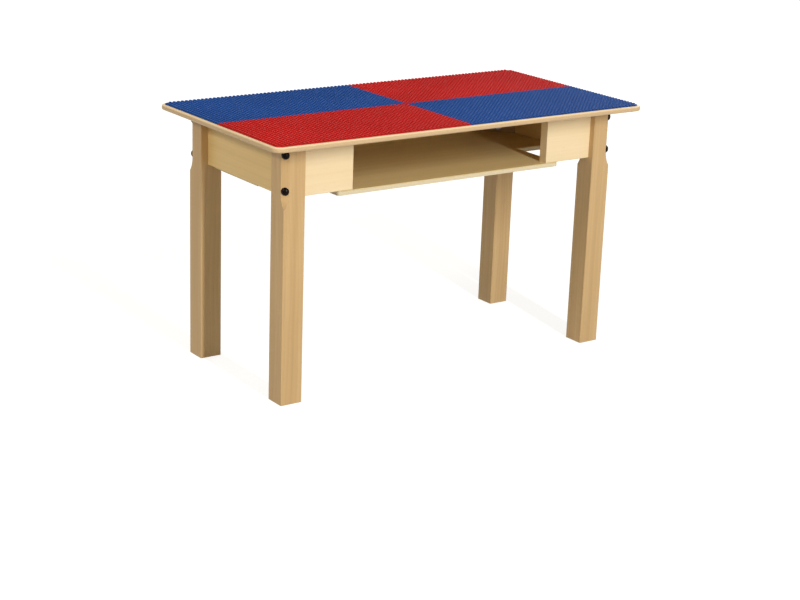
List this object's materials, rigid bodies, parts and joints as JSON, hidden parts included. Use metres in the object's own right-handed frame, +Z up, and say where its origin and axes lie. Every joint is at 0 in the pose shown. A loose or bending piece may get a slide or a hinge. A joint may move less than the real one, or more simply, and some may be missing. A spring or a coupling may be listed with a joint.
{
  "type": "kids table with storage",
  "caption": "Low wooden play table for children: studded building plates on a round-cornered top, bolted square legs, and an open storage bay under the top.",
  "frame": {"origin": "on the floor under the middle of the top", "axes": "+Z up, +X along the table's length to the right as seen from the storage bay's opening, -Y out of the opening to the front"},
  "size_m": [0.78, 0.396, 0.457],
  "materials": {
    "birch_plywood": "clear satin lacquer on plywood, plies bare at the edges",
    "birch": "clear satin lacquer on solid pale wood",
    "maple": "clear satin lacquer on solid tan wood",
    "red_plastic": "moulded semi-gloss",
    "blue_plastic": "moulded semi-gloss",
    "black_steel": "black oxide",
    "zinc_steel": "bright zinc"
  },
  "bodies": {
    "root": {"top_panel": "birch_plywood", "baseplate_front_left": "red_plastic", "baseplate_front_right": "blue_plastic", "baseplate_back_left": "blue_plastic", "baseplate_back_right": "red_plastic", "leg_front_left": "maple", "leg_front_right": "maple", "leg_back_left": "maple", "leg_back_right": "maple", "apron_left": "birch", "apron_right": "birch", "apron_back": "birch", "fascia_left": "birch", "fascia_right": "birch", "shelf_board": "birch_plywood", "corner_block_front_left": "maple", "corner_block_front_right": "maple", "corner_block_back_left": "maple", "corner_block_back_right": "maple", "leg_bolts": "black_steel", "bolt_washers": "zinc_steel", "bolt_nuts": "zinc_steel", "top_screws": "zinc_steel", "shelf_screws": "zinc_steel", "block_screws": "zinc_steel"}
  },
  "joints": []
}
